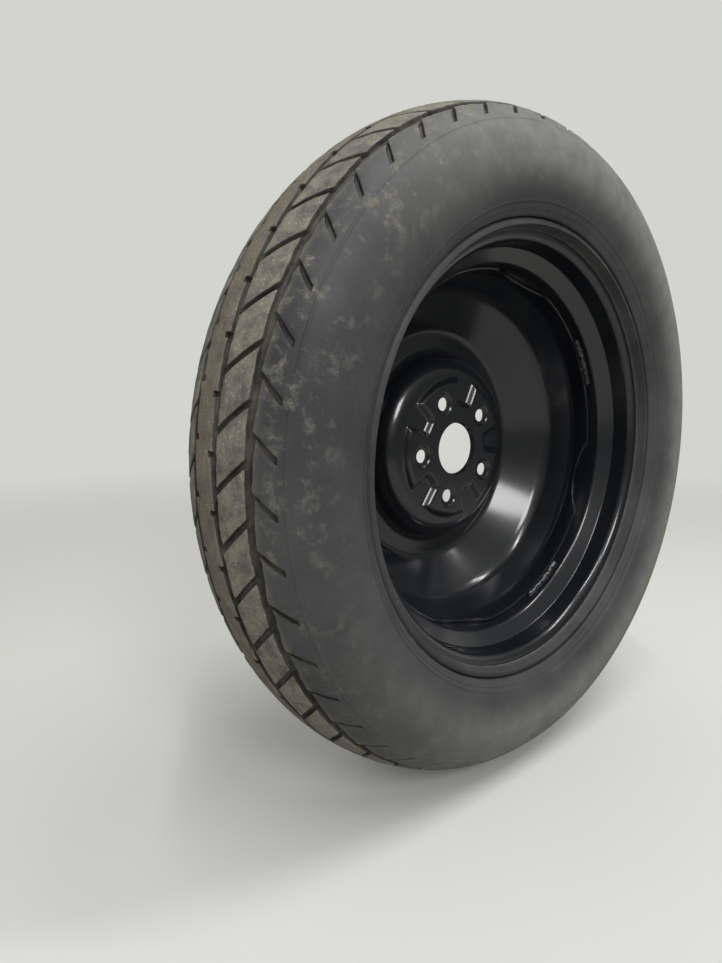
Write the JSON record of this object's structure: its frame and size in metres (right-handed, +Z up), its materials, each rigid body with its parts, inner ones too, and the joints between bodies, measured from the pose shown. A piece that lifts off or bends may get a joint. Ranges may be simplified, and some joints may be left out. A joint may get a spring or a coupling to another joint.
{
  "type": "compact spare wheel",
  "caption": "Compact spare wheel: narrow tubeless tyre on a black pressed-steel wheel with a deep bowl, hub pad with lug holes and centre bore, and a snap-in tyre valve.",
  "frame": {"origin": "centre of the hub's mounting face, on the wheel's axis", "axes": "+Y along the wheel's axis from the hub side to the outer side, +Z up, with the valve at the top"},
  "size_m": [0.6958, 0.1751, 0.6958],
  "materials": {
    "tyre_rubber": "moulded rubber, dusty on the tread",
    "rim_paint": "gloss black paint",
    "disc_paint": "gloss black paint",
    "weld_paint": "gloss black paint over a rough weld",
    "valve_rubber": "moulded rubber",
    "valve_brass": "turned brass",
    "core_brass": "turned brass",
    "seal_rubber": "moulded rubber",
    "spring_steel": "drawn wire",
    "cap_plastic": "moulded, ribbed for grip"
  },
  "bodies": {
    "wheel": {"tyre": "tyre_rubber", "rim": "rim_paint", "wheel_disc": "disc_paint", "disc_welds": "weld_paint", "valve_stem": "valve_rubber", "valve_insert": "valve_brass", "core_plug": "core_brass", "core_barrel": "core_brass", "barrel_seal": "seal_rubber", "core_spring": "spring_steel"},
    "valve_pin": {"core_pin": "core_brass", "pin_cup": "core_brass", "cup_seal": "seal_rubber"},
    "cap": {"valve_cap": "cap_plastic"}
  },
  "joints": [
    {"name": "pin_press", "type": "slide", "parent": "wheel", "child": "valve_pin", "axis": [0, -0.9144, 0.4048], "range_m": [0, 0.0012], "stiffness_N_per_m": 400, "springref_m": -0.001, "deforming": ["core_spring"]},
    {"name": "cap_off", "type": "slide", "parent": "wheel", "child": "cap", "axis": [0, 0.9144, -0.4048], "range_m": [0, 0.014]}
  ]
}
